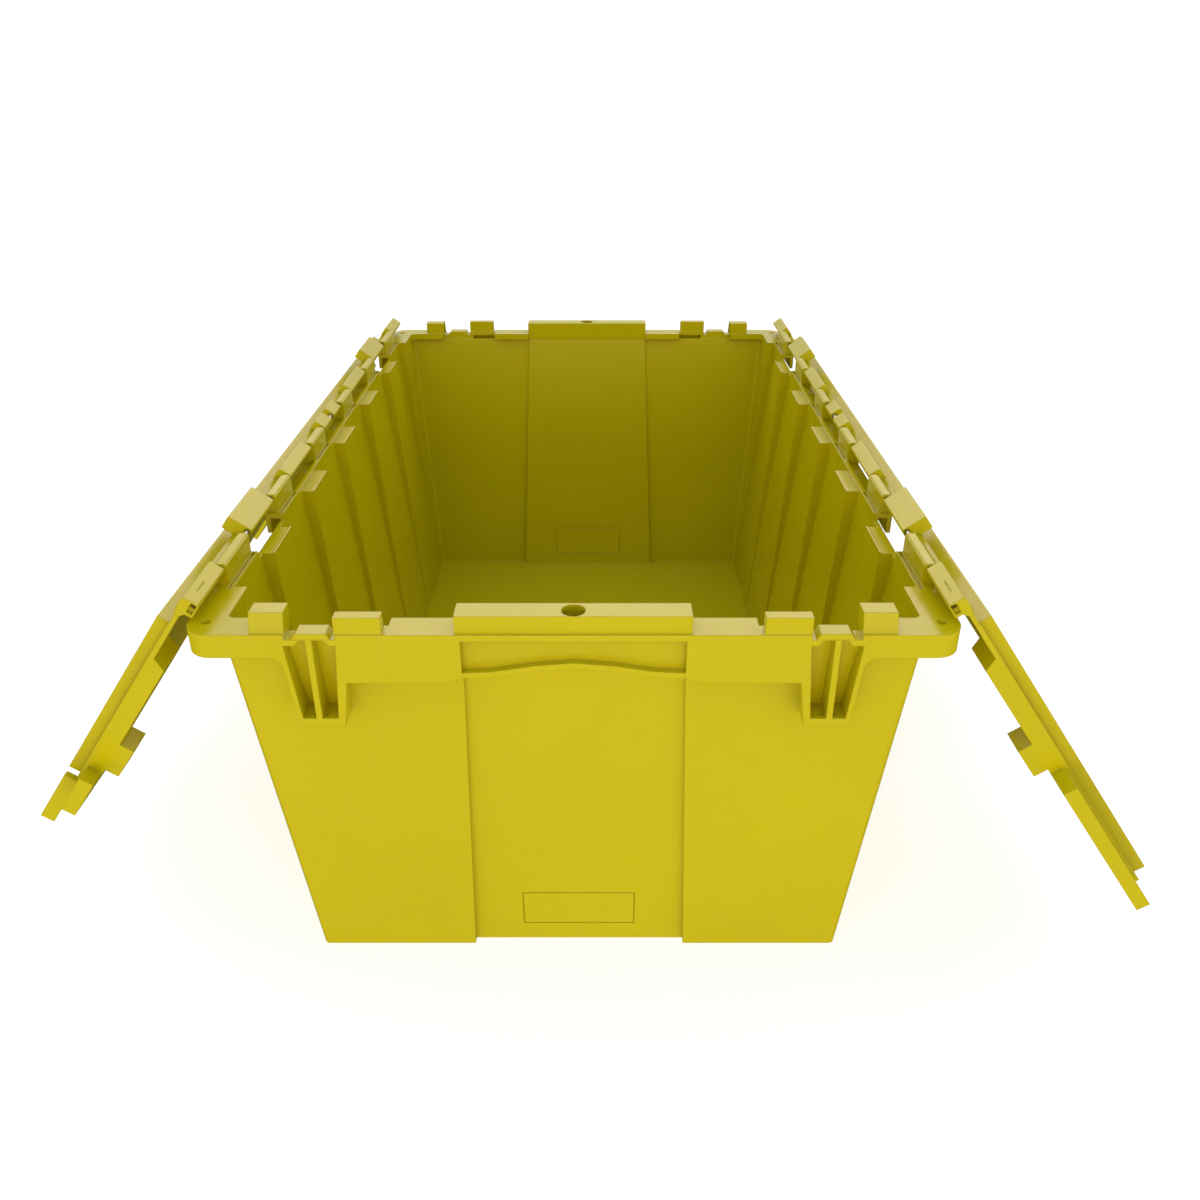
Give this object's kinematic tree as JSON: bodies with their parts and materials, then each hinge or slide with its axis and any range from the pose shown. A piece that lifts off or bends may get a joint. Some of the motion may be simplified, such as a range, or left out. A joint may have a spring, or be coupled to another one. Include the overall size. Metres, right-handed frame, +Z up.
{
  "type": "attached lid tote",
  "caption": "Deep rectangular nesting tote with drafted walls, end grips and two hinged lids that interlock along the middle when closed.",
  "frame": {"origin": "on the floor, under the middle of the body", "axes": "+Y along the tote's length, from one end grip to the other; +X across it, towards the right lid's hinge; +Z up"},
  "size_m": [0.7414, 0.688, 0.2945],
  "materials": {
    "body_plastic": "glossy moulded polypropylene, yellow",
    "lid_plastic": "glossy moulded polypropylene, yellow",
    "rod_steel": "drawn steel wire"
  },
  "bodies": {
    "tote": {"tote_body": "body_plastic", "hinge_rod_left": "rod_steel", "hinge_rod_right": "rod_steel"},
    "left_lid": {"lid_left": "lid_plastic"},
    "right_lid": {"lid_right": "lid_plastic"}
  },
  "joints": [
    {"name": "left_lid_hinge", "type": "hinge", "parent": "tote", "child": "left_lid", "pos_m": [-0.211, 0, 0.284], "axis": [0, 1, 0], "range_deg": [0, 234.5]},
    {"name": "right_lid_hinge", "type": "hinge", "parent": "tote", "child": "right_lid", "pos_m": [0.211, 0, 0.284], "axis": [0, -1, 0], "range_deg": [0, 234.5]}
  ]
}
